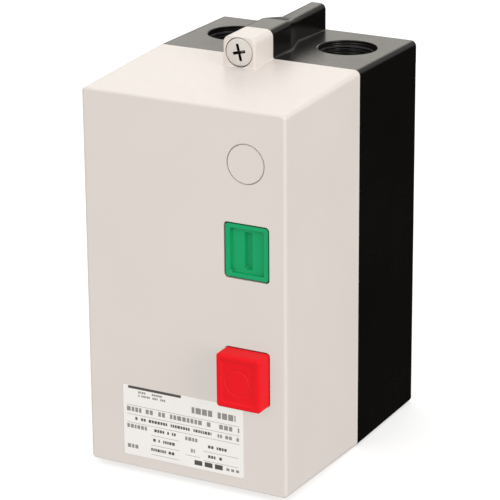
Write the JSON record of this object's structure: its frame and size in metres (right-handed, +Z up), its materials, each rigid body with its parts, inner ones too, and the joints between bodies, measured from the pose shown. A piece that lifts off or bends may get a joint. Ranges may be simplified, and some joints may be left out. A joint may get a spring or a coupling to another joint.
{
  "type": "enclosed motor starter",
  "caption": "Two-shell wall-mounted enclosure for a motor starter: black base with cable entries, light cover with start and stop push buttons, contactor and overload relay inside.",
  "frame": {"origin": "centre of the four wall fixing holes, on the plane of the wall pads", "axes": "+X to the right of the front, +Y into the wall, +Z up"},
  "size_m": [0.093, 0.1273, 0.1772],
  "materials": {
    "cover_plastic": "semi-gloss moulded ABS, warm off-white, faint fine texture",
    "base_plastic": "glossy black moulded ABS",
    "green_plastic": "semi-gloss green moulded plastic",
    "red_plastic": "semi-gloss red moulded plastic",
    "label_film": "satin printed polyester film",
    "seal_rubber": "matt black elastomer",
    "plated_steel": "zinc plated steel, satin",
    "spring_steel": "bright spring wire",
    "laminated_iron": "stacked electrical steel laminations",
    "brass": "turned brass, satin",
    "copper_alloy": "formed copper alloy strip, satin",
    "copper_wire": "enamelled copper wire",
    "dark_housing": "dark grey thermoset moulding, fine grain",
    "light_housing": "light grey thermoset moulding, fine grain",
    "natural_nylon": "natural nylon, slightly translucent",
    "blue_plastic": "blue moulded plastic",
    "clip_plastic": "black nylon, matt",
    "bimetal": "rolled bimetal strip",
    "earth_green": "green lacquered screw head"
  },
  "bodies": {
    "base": {"base_shell": "base_plastic", "cover_gasket": "seal_rubber", "screw_insert": "brass", "mounting_plate": "plated_steel", "plate_screws": "plated_steel", "contactor_base": "dark_housing", "contactor_housing": "light_housing", "contactor_screws": "plated_steel", "fixed_core": "laminated_iron", "coil_bobbin": "natural_nylon", "coil_winding": "copper_wire", "coil_terminals": "brass", "coil_terminal_screws": "plated_steel", "carrier_spring": "spring_steel", "line_terminals": "copper_alloy", "load_terminals": "copper_alloy", "main_terminal_screws": "plated_steel", "start_block_housing": "dark_housing", "start_plunger_spring": "spring_steel", "start_block_contacts": "copper_alloy", "start_block_screws": "plated_steel", "overload_housing": "dark_housing", "overload_cover": "dark_housing", "link_bars": "copper_alloy", "heater_strips": "bimetal", "overload_terminals": "copper_alloy", "overload_terminal_screws": "plated_steel", "reset_spring": "spring_steel", "trip_contacts": "copper_alloy", "trip_contact_screws": "plated_steel", "earth_terminal": "brass", "earth_screw": "earth_green"},
    "cover": {"cover_shell": "cover_plastic", "rating_label": "label_film", "start_clip": "clip_plastic", "stop_clip": "clip_plastic", "start_spring": "spring_steel", "stop_spring": "spring_steel", "start_seal": "seal_rubber", "stop_seal": "seal_rubber"},
    "cover_screw": {"cover_screw": "plated_steel", "screw_retainer": "natural_nylon"},
    "start_button": {"start_button": "green_plastic", "start_rod": "natural_nylon"},
    "stop_button": {"stop_button": "red_plastic", "stop_rod": "natural_nylon"},
    "start_plunger": {"start_plunger": "natural_nylon", "start_bridge": "copper_alloy"},
    "reset_plunger": {"reset_plunger": "blue_plastic", "stop_bridge": "copper_alloy"},
    "contact_carrier": {"moving_core": "laminated_iron", "contact_carrier": "dark_housing", "bridge_contacts": "copper_alloy", "bridge_springs": "spring_steel"},
    "trip_slide": {"trip_slide": "natural_nylon"},
    "current_dial": {"current_dial": "natural_nylon"}
  },
  "joints": [
    {"name": "cover_lift", "type": "slide", "parent": "base", "child": "cover", "axis": [0, -1, 0], "range_m": [0, 0.09]},
    {"name": "cover_screw_turn", "type": "hinge", "parent": "cover", "child": "cover_screw", "pos_m": [0, -0.0652, 0.0882], "axis": [0, -1, 0], "continuous": true},
    {"name": "start_press", "type": "slide", "parent": "cover", "child": "start_button", "axis": [0, 1, 0], "range_m": [0, 0.0035], "stiffness_N_per_m": 250, "springref_m": -0.004, "deforming": ["start_spring", "start_seal"]},
    {"name": "stop_press", "type": "slide", "parent": "cover", "child": "stop_button", "axis": [0, 1, 0], "range_m": [0, 0.005], "stiffness_N_per_m": 250, "springref_m": -0.004, "deforming": ["stop_spring", "stop_seal"]},
    {"name": "start_plunger_press", "type": "slide", "parent": "base", "child": "start_plunger", "axis": [0, 1, 0], "range_m": [0, 0.0035], "deforming": ["start_plunger_spring"]},
    {"name": "reset_plunger_press", "type": "slide", "parent": "base", "child": "reset_plunger", "axis": [0, 1, 0], "range_m": [0, 0.005], "deforming": ["reset_spring"]},
    {"name": "carrier_pull", "type": "slide", "parent": "base", "child": "contact_carrier", "axis": [0, 1, 0], "range_m": [0, 0.0045], "stiffness_N_per_m": 200, "springref_m": -0.006, "deforming": ["carrier_spring"]},
    {"name": "trip_slide_travel", "type": "slide", "parent": "base", "child": "trip_slide", "axis": [1, 0, 0], "range_m": [0, 0.0025], "stiffness_N_per_m": 60, "springref_m": -0.001},
    {"name": "current_dial_turn", "type": "hinge", "parent": "base", "child": "current_dial", "pos_m": [0.012, -0.08, -0.024], "axis": [0, -1, 0], "range_deg": [-135, 135]}
  ],
  "couplings": [
    {"joint": "start_plunger_press", "follows": "start_press", "ratio": 1},
    {"joint": "reset_plunger_press", "follows": "stop_press", "ratio": 1}
  ]
}
